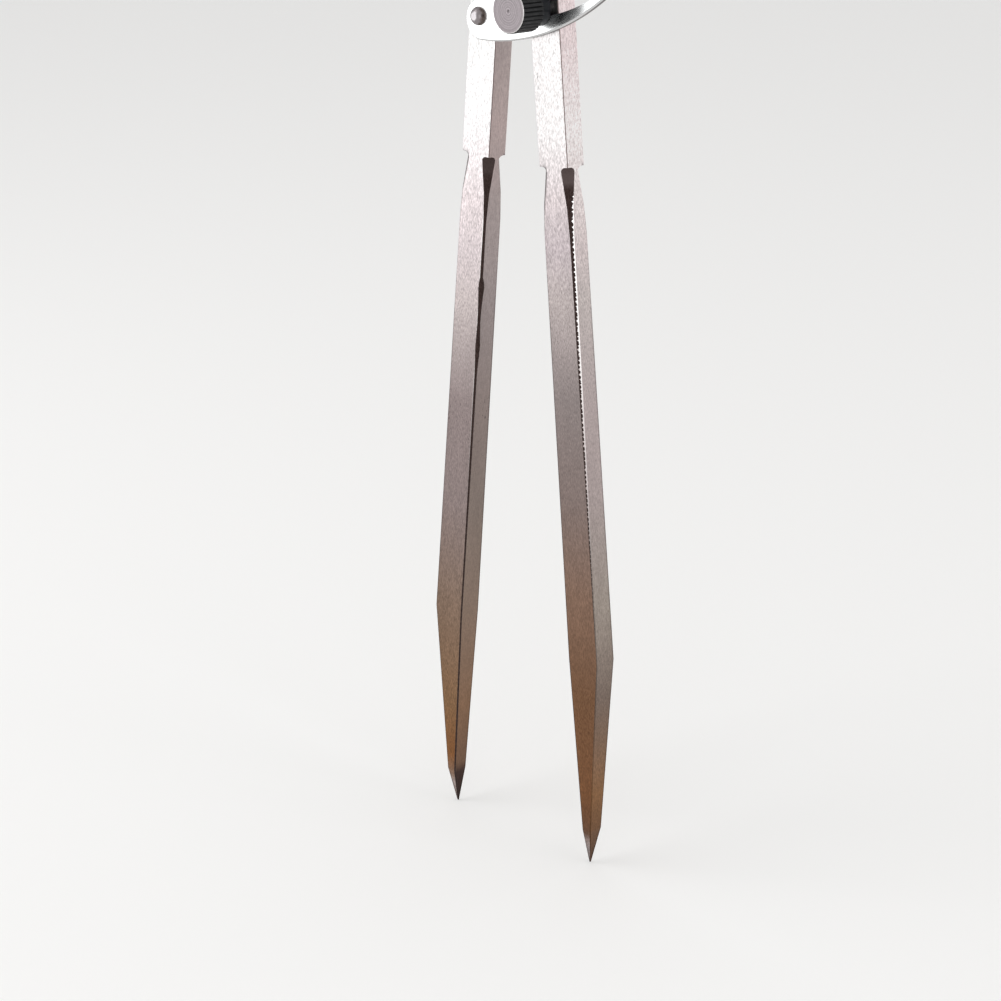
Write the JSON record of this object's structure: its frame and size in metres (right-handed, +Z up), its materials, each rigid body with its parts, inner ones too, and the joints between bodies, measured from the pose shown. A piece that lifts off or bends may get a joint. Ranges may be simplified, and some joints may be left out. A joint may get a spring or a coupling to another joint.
{
  "type": "carpenter's compass",
  "caption": "Steel carpenter's compass for marking arcs: two pointed legs on a bolted hinge, a slotted setting wing and a ribbed thumb knob that clamps the opening.",
  "frame": {"origin": "on the hinge axis, in the middle of the head's thickness, where the hand holds the tool", "axes": "+Z up out of the head with both points down, +X from the left leg to the right leg, -Y to the side that carries the wing"},
  "size_m": [0.0968, 0.0321, 0.3591],
  "materials": {
    "ground_steel": "ground bright, with dark forging scale left in the corners of the neck",
    "polished_steel": "polished plate with a rounded edge",
    "rivet_steel": "bright, slightly worn",
    "black_oxide": "blackened turned steel, bare on the faced front",
    "blued_steel": "blued, satin",
    "plain_steel": "plain steel fasteners, oiled",
    "friction_brass": "plain sheet"
  },
  "bodies": {
    "left_leg_body": {"left_leg": "ground_steel", "wing": "polished_steel", "wing_rivet": "rivet_steel", "hinge_bolt": "plain_steel", "hinge_nut": "plain_steel", "hinge_washers": "plain_steel", "spring_washer": "plain_steel", "friction_washers": "friction_brass"},
    "right_leg_body": {"right_leg": "ground_steel"},
    "collar_body": {"thrust_collar": "blued_steel"},
    "knob_body": {"clamp_knob": "black_oxide", "clamp_stud": "plain_steel"}
  },
  "joints": [
    {"name": "leg_hinge", "type": "hinge", "parent": "left_leg_body", "child": "right_leg_body", "pos_m": [0, 0, 0], "axis": [0, -1, 0], "range_deg": [-10.3, 34.7]},
    {"name": "collar_slide", "type": "slide", "parent": "right_leg_body", "child": "collar_body", "axis": [0, -1, 0], "range_m": [0, 0.0008]},
    {"name": "knob_turn", "type": "hinge", "parent": "collar_body", "child": "knob_body", "pos_m": [0.01247, -0.0145, -0.07101], "axis": [0, -1, 0], "range_deg": [0, 360]}
  ],
  "couplings": [
    {"joint": "knob_turn", "follows": "collar_slide", "rad_per_m": 7854}
  ]
}
